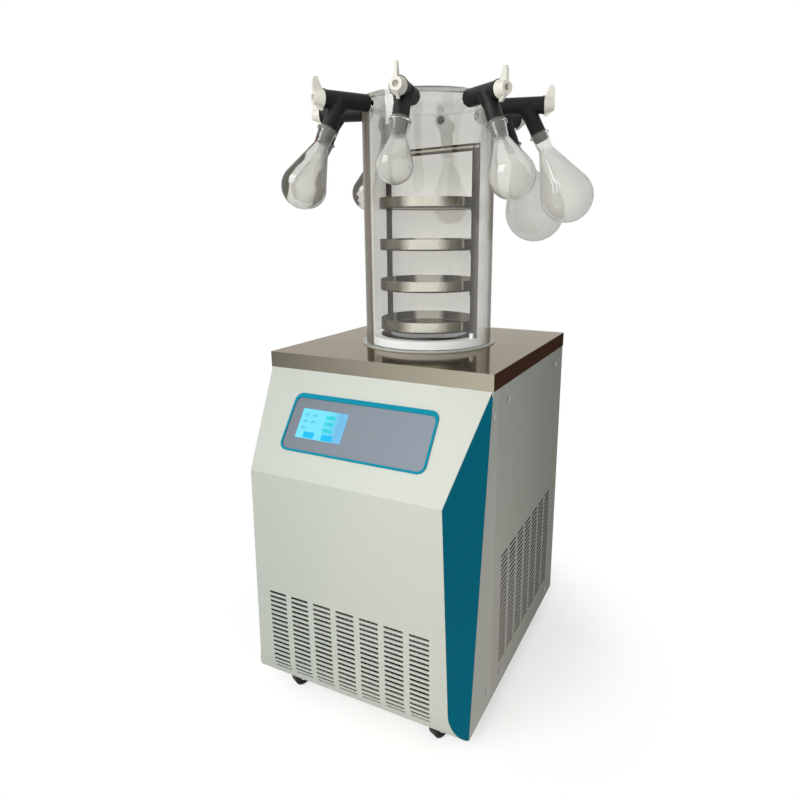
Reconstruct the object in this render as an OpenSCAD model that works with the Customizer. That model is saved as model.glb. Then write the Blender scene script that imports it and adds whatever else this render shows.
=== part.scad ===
// Freeze dryer: a floor-standing cabinet on casters, with a clear drying chamber,
// a tray rack and eight flask valves above the cold trap.

/* [Cabinet] */
// Width across the side panels
cab_w = 460; // [440:5:520]
// Depth from the front edge of the worktop to the rear panel
cab_d = 466; // [450:2:540]
// Height from the underside to the top of the worktop
cab_h = 650; // [620:5:720]
// Thickness of the painted sheet
sheet = 1.5; // [1:0.1:2]
// Depth of the folded edge of the worktop
worktop_edge = 30; // [20:1:40]
// How far the worktop stands out past the panels
worktop_over = 0.8; // [0.2:0.1:0.8]
// Width of the flanges folded inward on the panels
flange_w = 15; // [10:1:20]
// Distance of the side seam behind the front edge of the worktop
seam_y = 30; // [25:1:36]
// Thickness of the base pan
pan_t = 2; // [1.5:0.1:3]
// Height of the upturned edge of the base pan
pan_edge = 20; // [15:1:30]

/* [Front fairing] */
// How far the fold stands ahead of the worktop
fold_out = 121; // [110:1:135]
// Drop of the fold below the top of the worktop
fold_drop = 197; // [180:1:215]
// Width of the front panel at the fold
fold_w = 385; // [370:1:400]
// How far the lower panel stands out where its bottom curve starts
low_out = 117; // [112:1:120]
// Width of the front panel where its bottom curve starts
low_w = 408; // [390:1:416]
// How far the bottom edge of the fairing stands ahead of the worktop
foot_out = 82; // [76:1:92]
// Radius of the bottom curve
curve_r = 85; // [75:1:100]
// Thickness of the coloured cheeks
cheek_t = 2.5; // [2:0.1:4]

/* [Vents] */
// Length of one ventilation slot
slot_l = 38; // [30:1:42]
// Height of one ventilation slot
slot_h = 5; // [4:0.5:6]
// Spacing of the columns of slots
col_pitch = 50; // [46:1:54]
// Spacing of the rows of slots
row_pitch = 9.85; // [9:0.05:10.5]
// Columns of slots on the front and on each side
vent_cols = 7; // [3:2:7]
// Rows of slots on the front
front_rows = 18; // [12:1:18]
// Drop of the first front row below the worktop
front_vent_drop = 442; // [430:1:450]
// Rows of slots on each side
side_rows = 24; // [16:1:24]
// Drop of the first side row below the worktop
side_vent_drop = 366; // [350:1:372]
// Rows of slots on the rear
rear_rows = 12; // [8:1:14]

/* [Controls] */
// Width of the bezel
bezel_w = 296; // [270:1:310]
// Height of the bezel along the slope
bezel_h = 112; // [104:1:120]
// Outer corner radius of the bezel
bezel_r = 16; // [12:1:20]
// Width of the rim of the bezel
bezel_rim = 4; // [3:0.5:6]
// Width of the upper rim of the bezel
bezel_brow = 9; // [6:0.5:11]
// How far the bezel stands proud of the panel
bezel_t = 2.5; // [2:0.1:4]
// Distance of the bezel from the top of the slope
bezel_drop = 46; // [40:1:52]
// Width of the touch screen
screen_w = 97; // [88:1:104]
// Height of the touch screen
screen_h = 56; // [50:1:62]
// Distance of the screen from the left edge of the bezel
screen_in = 26; // [22:1:40]
// Distance of the screen from the upper edge of the bezel
screen_drop = 29; // [25:1:34]
// Depth of the control box
box_depth = 58; // [45:1:70]

/* [Chamber] */
// Distance of the chamber axis behind the front edge of the worktop
chamber_y = 240; // [230:1:250]
// Distance of the chamber axis to the right of the cabinet's middle
chamber_x = -4; // [-8:1:8]
// Outer diameter of the clear tube
tube_od = 262; // [258:1:270]
// Wall of the clear tube
tube_wall = 10; // [8:0.5:11]
// Height of the chamber above the worktop
chamber_h = 476; // [470:1:520]
// Thickness of the lid
lid_t = 8; // [6:0.5:8.5]
// Depth of the step that the lid sits in
lid_step = 5; // [3:0.5:6]
// Outer diameter of the base seal
seal_od = 280; // [276:1:288]
// Thickness of the base seal
seal_t = 2.5; // [2:0.5:5]
// Outer diameter of the white collar over the cold trap
collar_od = 234; // [226:1:236]
// Inner diameter of the collar
collar_id = 150; // [140:1:160]
// Height of the collar above the worktop
collar_t = 18; // [14:0.5:22]

/* [Rack and trays] */
// Diameter of a tray
tray_d = 200; // [190:1:204]
// Height of a tray
tray_h = 20; // [16:1:26]
// Sheet of a tray
tray_t = 1; // [0.8:0.1:1.5]
// Spacing of the trays
tray_pitch = 80; // [74:1:82]
// Height of the lowest tray above the worktop
tray_z1 = 32; // [30:1:38]
// Width of the rack's channel
channel_w = 13; // [11:0.5:13]
// Depth of the rack's channel
channel_d = 5; // [4:0.5:7]
// Sheet of the rack
rack_t = 1.2; // [1:0.1:1.5]
// Gap between a tray and the rack's uprights
rack_gap = 5; // [3:0.5:5]
// Height of the rack above the worktop
rack_h = 388; // [384:1:400]
// Direction of the rack, turned from the width of the cabinet
rack_turn = -13; // [-30:1:30]

/* [Valves] */
// Depth of the port axes below the chamber's rim
port_drop = 18; // [17.5:0.5:22]
// Direction of the first port on the right
port_turn = 13; // [5:1:20]
// Outer diameter of a port stub
stub_od = 18; // [16:0.5:18]
// Length of a port stub outside the chamber
stub_l = 24; // [20:1:28]
// Outer diameter of the valve body
valve_od = 31; // [29:0.5:34]
// Length of the valve body
valve_l = 92; // [88:1:100]
// Distance of the branch from the outer end of the valve body
branch_in = 34.5; // [32:0.5:40]
// Outer diameter of the branch
branch_od = 29; // [27:0.5:30]
// Length of the branch along its axis
branch_l = 55; // [50:1:60]
// Angle of the branch below the horizontal
branch_a = 63; // [58:1:68]
// Length of the valve knob
knob_l = 18; // [16:0.5:22]
// Diameter of the knob at its foot
knob_d = 31; // [28:0.5:33]
// Diameter of the knob's outer face
knob_face_d = 21; // [18:0.5:24]
// Height of the knob's wing above the axis
wing_h = 35; // [30:0.5:40]
// Diameter of the knob's stem
stem_d = 18; // [16:0.5:20]

/* [Flasks] */
// Bulb diameter of the smallest flask
flask_s = 62; // [56:1:66]
// Bulb diameter of the medium flasks
flask_m = 80; // [74:1:86]
// Bulb diameter of the large flasks
flask_l = 100; // [94:1:106]
// Bulb diameter of the largest flask
flask_xl = 132; // [124:1:136]
// Distance of a bulb's middle below the neck, in bulb diameters
flask_taper = 0.95; // [0.9:0.01:1.1]
// Glass thickness
glass_t = 2; // [1.5:0.1:2.5]
// Diameter of the bead round a flask's mouth
lip_d = 38; // [37:0.5:42]
// Outer diameter of a neck under its bead
neck_d = 33; // [31.5:0.5:34]
// Outer diameter of a neck at its foot
neck_foot_d = 27; // [25:0.5:29]
// Length of a flask's neck
neck_l = 31; // [28:1:36]
// Length of the rubber cones in the small and medium flasks
cone_l = 27; // [18:1:28]
// Length of the rubber cones in the large flasks
short_cone_l = 14; // [12:1:18]

/* [Casters] */
// Height of the casters
caster_h = 50; // [48:1:60]
// Distance of the front casters behind the front edge of the worktop
caster_front = -31; // [-36:1:0]
// Direction in which the casters trail
caster_turn = 245; // [0:5:355]
// Diameter of a caster wheel
wheel_d = 38; // [34:0.5:38]
// Width of a caster wheel
wheel_w = 17; // [14:0.5:20]
// Distance of the casters from the cabinet's middle
caster_x = 160; // [140:1:175]
// Distance of the rear casters ahead of the rear panel
caster_rear = 50; // [46:1:70]
// Trail of the wheel behind the swivel
caster_trail = 12; // [10:0.5:16]

/* [Cold trap and refrigeration] */
// Inner diameter of the cold trap
trap_id = 190; // [180:1:192]
// Depth of the cold trap
trap_h = 220; // [200:1:240]
// Sheet of the cold trap
trap_t = 1.5; // [1:0.1:2]
// Diameter of the evaporator tube
coil_d = 9; // [8:0.5:10]
// Turns of the evaporator coil
coil_turns = 7; // [5:1:8]
// Thickness of the foam around the cold trap
foam_t = 30; // [25:1:36]
// Diameter of the compressor shell
comp_d = 160; // [140:1:180]
// Height of the compressor shell
comp_h = 190; // [170:1:210]
// Width of the condenser
cond_w = 340; // [320:2:350]
// Height of the condenser
cond_h = 220; // [200:2:240]
// Depth of the condenser
cond_d = 44; // [36:1:50]
// Diameter of the fan
fan_d = 190; // [170:2:195]
// Blades of the fan
fan_blades = 5; // [3:1:7]

/* [Services] */
// Inner diameter of the vacuum port
vac_id = 25; // [20:0.5:26]
// Wall of the vacuum port
vac_wall = 1.5; // [1:0.1:2]
// Flange diameter of the vacuum port
vac_flange = 40; // [36:0.5:44]
// Reach of the vacuum port past the rear panel
vac_reach = 34; // [28:1:44]
// Diameter of the drain pipe
drain_d = 12; // [10:0.5:14]
// Distance of the drain valve from the cabinet's middle
drain_side = 140; // [120:1:150]
// Height of the drain valve above the underside
drain_z = 90; // [70:1:110]
// Length of the drain lever
lever_l = 58; // [45:1:65]
// Distance of the power inlet from the cabinet's middle
inlet_x = 130; // [120:1:160]
// Height of the power inlet above the underside
inlet_z = 80; // [60:1:100]
// Distance of the power switch above the inlet
switch_gap = 46; // [40:1:60]
// Width of the power inlet
inlet_w = 50; // [48:0.5:56]
// Height of the power inlet
inlet_h = 30; // [28:0.5:34]

/* [Hidden] */
$fn = 64;

// Clearances
seam = 0.3;       // between painted panels, and between curved faces
run_gap = 0.05;   // radial, where one piece turns in another
bond_gap = 0.1;   // radial, where one piece is bonded or pressed in another

// Colours
panel_paint = [0.82, 0.84, 0.80];
teal_paint = [0.02, 0.37, 0.47];
strip_paint = [0.64, 0.65, 0.61];
steel = [0.70, 0.67, 0.62];
zinc = [0.62, 0.63, 0.64];
black_rubber = [0.09, 0.10, 0.10];
grey_rubber = [0.47, 0.47, 0.47];
ivory = [0.90, 0.89, 0.84];
clear = [0.80, 0.83, 0.80, 0.35];
copper = [0.72, 0.45, 0.30];

// Cabinet levels and planes
half_w = cab_w / 2;
inner_w = half_w - sheet;              // inner face of the side panels
worktop_z = caster_h + cab_h;
rim_z = worktop_z - worktop_edge;      // lower edge of the worktop's rim
pan_z = caster_h + pan_t;              // top of the base pan
flange_z = pan_z + pan_edge;           // top of the pan's upturned edge
rear_y = cab_d - sheet;                // inner face of the rear panel

// Front fairing
fold_z = worktop_z - fold_drop;
slope_a = atan2(fold_out, rim_z - fold_z);
curve_a = acos(1 - (low_out - foot_out) / curve_r);
low_z = caster_h + curve_r * sin(curve_a);
corner_w = inner_w - seam;             // half-width of the fairing at its top and bottom corners
lip = 22;                              // bottom return of the fairing
cheek_gap = 0.6;                       // seam along the cheeks
pan_front = -foot_out + lip + seam;

// Front face of the fairing at a height
function front_y(z) =
    z > fold_z ? -fold_out * (rim_z - z) / (rim_z - fold_z)
    : z > low_z ? -fold_out + (fold_out - low_out) * (fold_z - z) / (fold_z - low_z)
    : -low_out + curve_r * (1 - cos(asin((low_z - z) / curve_r)));
// Half-width of the fairing at a height, sweeping out to the corner along the bottom curve
sweep_power = 1.5;
function front_w(z) =
    z > fold_z ? corner_w + (fold_w / 2 - corner_w) * (rim_z - z) / (rim_z - fold_z)
    : z > low_z ? fold_w / 2 + (low_w - fold_w) / 2 * (fold_z - z) / (fold_z - low_z)
    : low_w / 2 + (corner_w - low_w / 2) * pow((low_z - z) / (low_z - caster_h), sweep_power);
// Front edge of the corner strips at a height
function strip_y(z) = -foot_out * (rim_z - z) / (rim_z - caster_h);

// Vents
front_vent_z = worktop_z - front_vent_drop;
side_vent_z = worktop_z - side_vent_drop;
side_vent_y = (seam_y + cab_d) / 2 - 11;
rear_vent_z = worktop_z - 400;

// Chamber levels, above the worktop
tube_in = tube_od / 2 - tube_wall;     // inner radius of the tube
lid_z = chamber_h - lid_t;
port_z = chamber_h - port_drop;
rim_r = tube_od / 2 - lid_step;        // radius of the lid's seat
spigot_h = 6;                          // collar's spigot in the worktop's hole
trap_r = trap_id / 2;
hole_r = trap_r + trap_t + seam;       // hole in the worktop
rack_in = tray_d / 2 + rack_gap;       // inner edge of the rack's uprights
rack_out = rack_in + channel_w;
rack_z = collar_t;
tray_count = 4;
shelf_w = 9;                           // width of a shelf ring
foot_ring_w = 20;                      // width of the rack's foot ring
arm_l = rack_gap + 4;                  // arms from the rings to the uprights
shelf_tab = 8;                         // tabs that hang on the uprights
lug_t = 5;                             // locating lugs on the collar
lug_h = 10;

// Valves, along a port's own axis from the chamber axis
ports = 8;
valve_x = tube_od / 2 + 0.4;
valve_end = valve_x + valve_l;
branch_x = valve_end - branch_in;
knob_x = valve_end + seam;
knob_end = knob_x + knob_l;
bore_r = 7;                            // gas passage
stub_r = stub_od / 2;
stem_r = stem_d / 2;
stem_l = 24;
socket_l = 14;                         // rubber cone's spigot in the branch
spigot_r = 9;
wing_t = 5;

// Flasks, along the branch axis from the port axis
cone_s = branch_l + seam;              // the rubber cone's flange, under the branch
flange_t = 2;
neck_top = cone_s + flange_t + seam;
neck_end = neck_top + neck_l;
neck_taper = (neck_d - neck_foot_d) / 2 / neck_l;
flask_d = [flask_l, flask_xl, flask_l, flask_m, flask_m, flask_m, flask_s, flask_m];
// How much longer or shorter than the rest each flask is
flask_more = [2, -2, 2, -2, -2, 5, -7, -8];
function bulb_s(i) = neck_end + flask_taper * flask_d[i] + flask_more[i];

// The whole outline, from which the stored origin follows
function port_a(i) = port_turn + 360 / ports * i;
function bulb_out(i) = branch_x + bulb_s(i) * cos(branch_a);
bulb_x = [for (i = [0:ports - 1]) chamber_x + bulb_out(i) * cos(port_a(i))];
bulb_y = [for (i = [0:ports - 1]) chamber_y + bulb_out(i) * sin(port_a(i))];
x_low = min([for (i = [0:ports - 1]) bulb_x[i] - flask_d[i] / 2]);
x_high = max([for (i = [0:ports - 1]) bulb_x[i] + flask_d[i] / 2]);
y_low = min(-fold_out, min([for (i = [0:ports - 1]) bulb_y[i] - flask_d[i] / 2]));
y_high = max(cab_d + 60, max([for (i = [0:ports - 1]) bulb_y[i] + flask_d[i] / 2]));
stand = [-(x_low + x_high) / 2, -(y_low + y_high) / 2, 0];

module stand() { translate(stand) children(); }
module at_chamber() { translate([chamber_x, chamber_y, worktop_z]) children(); }
module at_port(i) { at_chamber() translate([0, 0, port_z]) rotate([0, 0, port_a(i)]) children(); }
// Child's +Z runs down the branch
module at_branch(i) { at_port(i) translate([branch_x, 0, 0]) rotate([0, 90 + branch_a, 0]) children(); }
// Child's +Z is square to the sloping panel, +Y runs up it from the lower fold
module on_slope() { translate([0, 0, rim_z]) rotate([90 - slope_a, 0, 0]) children(); }
module tube(r, r_in, h) {
    difference() {
        cylinder(r = r, h = h);
        translate([0, 0, -1]) cylinder(r = r_in, h = h + 2);
    }
}
module box(from, to) { translate(from) cube(to - from); }
module mirrored(side) { mirror([side < 0 ? 1 : 0, 0, 0]) children(); }
module rounded_plate(w, h, r, t) {
    linear_extrude(t) hull() for (x = [-1, 1], y = [-1, 1])
        translate([x * (w / 2 - r), y * (h / 2 - r)]) circle(r, $fn = 32);
}
// A grid of slots as a flat outline, with its first row at the origin
module slot_grid(cols, rows, l = slot_l, h = slot_h) {
    for (c = [0:cols - 1], r = [0:rows - 1])
        translate([(c - (cols - 1) / 2) * col_pitch - l / 2, -r * row_pitch - h / 2]) square([l, h]);
}
// Pipe of straight runs with ball corners
module pipe(points, r) {
    for (i = [0:len(points) - 2]) {
        run = points[i + 1] - points[i];
        translate(points[i]) rotate([0, acos(run.z / norm(run)), atan2(run.y, run.x)])
            cylinder(r = r, h = norm(run));
        if (i > 0) translate(points[i]) sphere(r);
    }
}

// ---- Cabinet ----

module base_pan() {
    edge = pan_t;
    plate_w = inner_w;
    color(panel_paint) stand() {
        box([-plate_w, pan_front, caster_h], [plate_w, rear_y, pan_z]);
        mirrored(1) box([plate_w - edge, pan_front, pan_z], [plate_w, rear_y, flange_z]);
        mirrored(-1) box([plate_w - edge, pan_front, pan_z], [plate_w, rear_y, flange_z]);
        box([-plate_w, rear_y - edge, pan_z], [plate_w, rear_y, flange_z]);
    }
}

// Section of the fairing, drawn in Y and Z
module fairing_section() {
    inner_slope = sheet / cos(slope_a);
    lean = atan2(fold_out - low_out, fold_z - low_z);
    inner_low = sheet / cos(lean);
    // Where the inner faces of the slope and of the lower panel meet
    inner_fold = fold_z + (inner_slope - inner_low) / (tan(slope_a) + tan(lean));
    polygon([[0, rim_z], [-fold_out, fold_z], [-low_out, low_z], [-low_out + sheet, low_z],
        [front_y(fold_z) + (fold_z - inner_fold) * tan(lean) + inner_low, inner_fold],
        [inner_slope, rim_z]]);
    translate([-low_out + curve_r, low_z]) intersection() {
        difference() {
            circle(curve_r, $fn = 180);
            circle(curve_r - sheet, $fn = 180);
        }
        polygon([[0, 0], [-2 * curve_r, 0], [-2 * curve_r, -2 * curve_r * tan(curve_a)]]);
    }
    polygon([[-foot_out, caster_h], [-foot_out + lip, caster_h],
        [-foot_out + lip, caster_h + sheet],
        [-foot_out + sheet * cos(curve_a), caster_h + sheet]]);
    translate([0, rim_z - sheet]) square([flange_w, sheet]);
}

// Side edges of the fairing, seen from the front
module fairing_outline() {
    right = [for (z = concat([rim_z, fold_z], curve_z, [caster_h])) [front_w(z), z]];
    left = [for (i = [len(right) - 1:-1:0]) [-right[i].x, right[i].y]];
    polygon(concat(right, left));
}

module front_panel() {
    straight_rows = floor((front_vent_z - slot_h - low_z) / row_pitch) + 1;
    color(panel_paint) stand() difference() {
        intersection() {
            translate([-half_w, 0, 0]) rotate([90, 0, 90]) linear_extrude(cab_w) fairing_section();
            translate([0, seam_y, 0]) rotate([90, 0, 0])
                linear_extrude(seam_y + fold_out + 1) fairing_outline();
        }
        translate([0, -low_out + 2 * sheet, front_vent_z]) rotate([90, 0, 0])
            linear_extrude(fold_out) slot_grid(vent_cols, straight_rows);
        // Rows that follow the bottom curve
        for (r = [straight_rows:front_rows - 1]) {
            arc = (low_z - front_vent_z + r * row_pitch) / curve_r * 180 / PI;
            translate([0, -low_out + curve_r, low_z]) rotate([arc, 0, 0])
                translate([0, -curve_r + 2 * sheet, 0]) rotate([90, 0, 0])
                linear_extrude(4 * sheet) slot_grid(vent_cols, 1);
        }
        on_slope() translate([screen_x, screen_y, -4 * sheet])
            linear_extrude(8 * sheet) square([screen_w + 2 * seam, screen_h + 2 * seam], center = true);
    }
}

// Moulded cheeks between the fairing's side edges and the corner strips: one level after
// another, each a straight line from the one edge to the other
cheek_top = rim_z - 9;
cheek_foot = caster_h + 3;
upper_steps = 8;
mid_steps = 8;
curve_steps = 12;
curve_z = [for (i = [0:curve_steps]) low_z + (cheek_foot - low_z) * i / curve_steps];
cheek_z = concat(
    [for (i = [0:upper_steps - 1]) cheek_top + (fold_z - cheek_top) * i / upper_steps],
    [for (i = [0:mid_steps - 1]) fold_z + (low_z - fold_z) * i / mid_steps], curve_z);
function cheek_ring(z) = [
    [front_w(z) + seam, front_y(z) + seam, z],
    [half_w, strip_y(z) - cheek_gap, z],
    [half_w - cheek_t, strip_y(z) - cheek_gap, z],
    [front_w(z) + seam, min(front_y(z) + cheek_t * 1.6, strip_y(z) - cheek_gap - 0.4), z]];
module front_cheeks() {
    n = len(cheek_z);
    points = [for (z = cheek_z) each cheek_ring(z)];
    walls = [for (i = [0:n - 2], j = [0:3]) each let (a = 4 * i + j, b = 4 * i + (j + 1) % 4)
        [[a, b, a + 4], [b, b + 4, a + 4]]];
    caps = [[0, 3, 2], [0, 2, 1], [4 * n - 4, 4 * n - 3, 4 * n - 2], [4 * n - 4, 4 * n - 2, 4 * n - 1]];
    color(teal_paint) stand() for (side = [-1, 1]) mirrored(side) polyhedron(points, concat(walls, caps));
}

module corner_strips() {
    rear = seam_y - seam;
    color(strip_paint) stand() for (side = [-1, 1]) mirrored(side) {
        difference() {
            translate([inner_w, 0, 0]) rotate([90, 0, 90]) linear_extrude(sheet)
                polygon([[seam, rim_z], [rear, rim_z], [rear, caster_h], [-foot_out + seam, caster_h]]);
            for (p = strip_screws) screw_hole(p);
        }
        box([inner_w - flange_w, rear - sheet, flange_z + seam], [inner_w, rear, rim_z]);
    }
}

module side_panel(side) {
    front = seam_y + seam;
    flange_x = inner_w - flange_w;
    foot = flange_z + seam;
    color(panel_paint) stand() mirrored(side) {
        difference() {
            translate([inner_w, 0, 0]) rotate([90, 0, 90]) linear_extrude(sheet) difference() {
                translate([front, caster_h]) square([rear_y - front, rim_z - caster_h]);
                translate([side_vent_y, side_vent_z]) slot_grid(vent_cols, side_rows);
            }
            for (p = side_screws) screw_hole(p);
        }
        box([flange_x, front, foot], [inner_w, front + sheet, rim_z]);
        difference() {
            box([flange_x, rear_y - sheet, foot], [inner_w, rear_y, rim_z]);
            for (p = rear_screws) translate([abs(p.x), rear_y - sheet - 1, p.y]) rotate([-90, 0, 0])
                cylinder(r = screw_r + bond_gap, h = sheet + 2);
        }
        box([flange_x, front + sheet, rim_z - sheet], [inner_w, rear_y - sheet, rim_z]);
    }
}

module rear_panel() {
    color(panel_paint) stand() difference() {
        translate([0, cab_d, 0]) rotate([90, 0, 0]) linear_extrude(sheet) difference() {
            translate([-half_w, caster_h]) square([cab_w, rim_z - caster_h]);
            translate([0, rear_vent_z]) slot_grid(5, rear_rows);
            translate([chamber_x, vac_z]) circle(vac_r + seam);
            translate([drain_x, drain_at]) circle(drain_d / 2 + seam);
            translate([inlet_x, inlet_at])
                square([inlet_w - 8 + 2 * seam, inlet_h - 6 + 2 * seam], center = true);
            translate([inlet_x, switch_at])
                square([switch_w - 4 + 2 * seam, switch_h - 4 + 2 * seam], center = true);
            for (p = rear_screws) translate(p) circle(screw_r + bond_gap);
        }
    }
}

module worktop() {
    rim = half_w + worktop_over;
    color(steel) stand() difference() {
        box([-rim, 0, rim_z], [rim, cab_d + worktop_over, worktop_z]);
        box([-rim + sheet, sheet, rim_z - 1], [rim - sheet, cab_d + worktop_over - sheet, worktop_z - sheet]);
        translate([chamber_x, chamber_y, rim_z]) cylinder(r = hole_r, h = worktop_edge + 1);
    }
}

// Screws: heads on the outside, plain shanks through the sheet
screw_r = 2;
screw_head_r = 4;
screw_head_t = 2.2;
screw_l = 8;
side_screws = [[seam_y + 49, worktop_z - 61], [cab_d - 67, worktop_z - 61],
    [seam_y + 49, caster_h + 28], [cab_d - 67, caster_h + 28]];
strip_screws = [[3, worktop_z - 73], [2, caster_h + 42]];
rear_screws = [for (x = [-1, 1], z = [caster_h + 30, (caster_h + worktop_z) / 2, rim_z - 18])
    [x * (inner_w - flange_w / 2), z]];
module screw_hole(p) {
    translate([inner_w - 1, p.x, p.y]) rotate([0, 90, 0]) cylinder(r = screw_r + bond_gap, h = sheet + 2);
}
module screw() {
    difference() {
        union() {
            cylinder(r = screw_head_r, h = screw_head_t);
            translate([0, 0, -screw_l]) cylinder(r = screw_r, h = screw_l);
        }
        for (a = [0, 90]) rotate([0, 0, a]) translate([-2.2, -0.5, screw_head_t - 1]) cube([4.4, 1, 2]);
    }
}
module panel_screws() {
    color(zinc) stand() {
        for (side = [-1, 1], p = concat(side_screws, strip_screws))
            mirrored(side) translate([half_w, p.x, p.y]) rotate([0, 90, 0]) screw();
        for (p = rear_screws) translate([p.x, cab_d, p.y]) rotate([-90, 0, 0]) screw();
    }
}

// ---- Controls ----
screen_x = -bezel_w / 2 + screen_in + screen_w / 2;
screen_y = -bezel_drop - screen_drop - screen_h / 2;
bezel_y = -bezel_drop - bezel_h / 2;
film_t = 1.2;
film_w = bezel_w - 2 * bezel_rim - 2 * seam;
film_h = bezel_h - bezel_rim - bezel_brow - 2 * seam;
film_y = bezel_y + (bezel_rim - bezel_brow) / 2;
film_r = bezel_r - bezel_rim;

module control_bezel() {
    color([0.04, 0.58, 0.69]) stand() on_slope() difference() {
        translate([0, bezel_y, 0]) rounded_plate(bezel_w, bezel_h, bezel_r, bezel_t);
        translate([0, film_y, -1]) rounded_plate(film_w + 2 * seam, film_h + 2 * seam, film_r, bezel_t + 2);
    }
}
module control_overlay() {
    color([0.55, 0.59, 0.64]) stand() on_slope() difference() {
        translate([0, film_y, 0]) rounded_plate(film_w, film_h, film_r, film_t);
        translate([screen_x, screen_y, -1])
            linear_extrude(film_t + 2) square([screen_w + 2 * seam, screen_h + 2 * seam], center = true);
    }
}
// Screen module, standing through the overlay and the panel
module touch_screen() {
    back = 26;
    color([0.43, 0.90, 1.0]) stand() on_slope() translate([screen_x, screen_y, 0])
        translate([-screen_w / 2, -screen_h / 2, -back]) cube([screen_w, screen_h, back + film_t + 0.4]);
}
module control_box() {
    wall = 1.2;
    inner = [bezel_w - 30, bezel_h - 14, box_depth - wall];
    color(zinc) stand() on_slope() translate([0, bezel_y, -sheet]) difference() {
        translate([0, 0, -box_depth / 2])
            cube([inner.x + 2 * wall, inner.y + 2 * wall, box_depth], center = true);
        translate([0, 0, -inner.z / 2 + 1]) cube(inner + [0, 0, 2], center = true);
        for (x = [-1, 1]) translate([x * inner.x / 4, -inner.y / 2 - 2 * wall, -box_depth / 2])
            rotate([-90, 0, 0]) cylinder(r = 9, h = 4 * wall);
    }
}

// ---- Cold trap and refrigeration ----
trap_z = worktop_z - sheet;            // the trap's flange lies under the worktop
trap_foot = trap_z - trap_h;
foam_in = trap_r + trap_t + 2 + coil_d + 2;
foam_out = foam_in + foam_t;
foam_foot = trap_foot - foam_t;
trap_flange = 16;
vac_r = vac_id / 2 + vac_wall;
vac_z = rim_z - vac_flange / 2 - 8;     // clear of the worktop's rim
coil_r = trap_r + trap_t + 1.6 + coil_d / 2;
coil_pitch = coil_d + 9;
coil_top = vac_z - vac_r - 14;
coil_rounds = coil_turns - 0.5;        // its two ends lie on opposite sides
coil_low = coil_top - coil_rounds * coil_pitch;
drain_r = drain_d / 2;
drain_x = -drain_side;
drain_at = caster_h + drain_z;
drain_bend_z = foam_foot - 25;

module trap_axis() { translate([chamber_x, chamber_y, 0]) children(); }

module cold_trap() {
    color(steel) stand() trap_axis() difference() {
        union() {
            translate([0, 0, trap_foot]) cylinder(r = trap_r + trap_t, h = trap_h);
            translate([0, 0, trap_z - trap_t]) cylinder(r = trap_r + trap_flange, h = trap_t);
        }
        translate([0, 0, trap_foot + trap_t]) cylinder(r = trap_r, h = trap_h + 1);
        translate([0, 0, vac_z]) rotate([-90, 0, 0]) cylinder(r = vac_id / 2, h = trap_r + 10);
        translate([0, 0, trap_foot - 1]) cylinder(r = drain_r - 1.5, h = trap_t + 2);
    }
}

// Copper evaporator: a helix around the well, one sweep of rings
module evaporator_coil() {
    steps = 24;
    sides = 8;
    n = steps * coil_rounds + 1;
    function at(i) = let (a = 360 * i / steps)
        [coil_r * cos(a), coil_r * sin(a), coil_low + coil_pitch * i / steps];
    points = [for (i = [0:n - 1], j = [0:sides - 1])
        let (a = 360 * i / steps, b = 360 * j / sides, p = at(i))
        p + coil_d / 2 * [cos(b) * cos(a), cos(b) * sin(a), sin(b)]];
    walls = [for (i = [0:n - 2], j = [0:sides - 1])
        let (a = sides * i + j, b = sides * i + (j + 1) % sides)
        [a, b, b + sides, a + sides]];
    color(copper) stand() trap_axis() polyhedron(points, concat(
        [[for (j = [sides - 1:-1:0]) j]], walls, [[for (j = [0:sides - 1]) sides * (n - 1) + j]]));
}

module trap_insulation() {
    color([0.86, 0.80, 0.62]) stand() trap_axis() difference() {
        translate([0, 0, foam_foot]) cylinder(r = foam_out, h = trap_z - trap_t - seam - foam_foot);
        translate([0, 0, trap_foot]) cylinder(r = foam_in, h = trap_h);
        translate([0, 0, vac_z]) rotate([-90, 0, 0]) cylinder(r = vac_r + seam, h = foam_out + 10);
        translate([0, 0, foam_foot - 1]) cylinder(r = drain_r + seam, h = foam_t + 2);
        translate([0, 0, coil_low]) rotate([0, 90, 0]) cylinder(r = line_r + seam, h = foam_out + 10);
        translate([0, 0, coil_top]) rotate([0, -90, 0]) cylinder(r = line_r + seam, h = foam_out + 10);
    }
}

// Hermetic compressor: two drawn shells on a foot plate, with three stubs
comp_z = pan_z + 14;
comp_stub_z = [comp_z + comp_h * 0.3, comp_z + comp_h * 0.65];
stub_end = comp_d / 2 + 14;
comp_stub_l = 30;
line_r = 4;
foot_w = comp_d + 10;
foot_d = comp_d - 30;
module comp_feet() {
    for (x = [-1, 1], y = [-1, 1])
        translate([chamber_x + x * (foot_w / 2 - 12), chamber_y + y * (foot_d / 2 - 12), 0]) children();
}
module compressor() {
    dome = 34;
    color([0.08, 0.08, 0.09]) stand() difference() {
        union() {
            trap_axis() translate([0, 0, comp_z]) {
                rotate_extrude() intersection() {
                    hull() {
                        translate([comp_d / 2 - dome, dome]) circle(dome);
                        translate([comp_d / 2 - dome, comp_h - dome]) circle(dome);
                        square([1, comp_h]);
                    }
                    square([comp_d, comp_h]);
                }
                translate([0, 0, comp_h * 0.5]) cylinder(r = comp_d / 2 + 3, h = 4);
                translate([-foot_w / 2, -foot_d / 2, 0]) cube([foot_w, foot_d, 3]);
                translate([-comp_d / 2 + 4, -20, 0]) cube([comp_d - 8, 40, 12]);
            }
            for (z = comp_stub_z) translate([chamber_x - stub_end, chamber_y, z]) rotate([0, 90, 0])
                cylinder(r = line_r + 1, h = comp_stub_l);
        }
        comp_feet() translate([0, 0, comp_z - 1]) cylinder(r = 6 + bond_gap, h = 5);
    }
}
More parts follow.
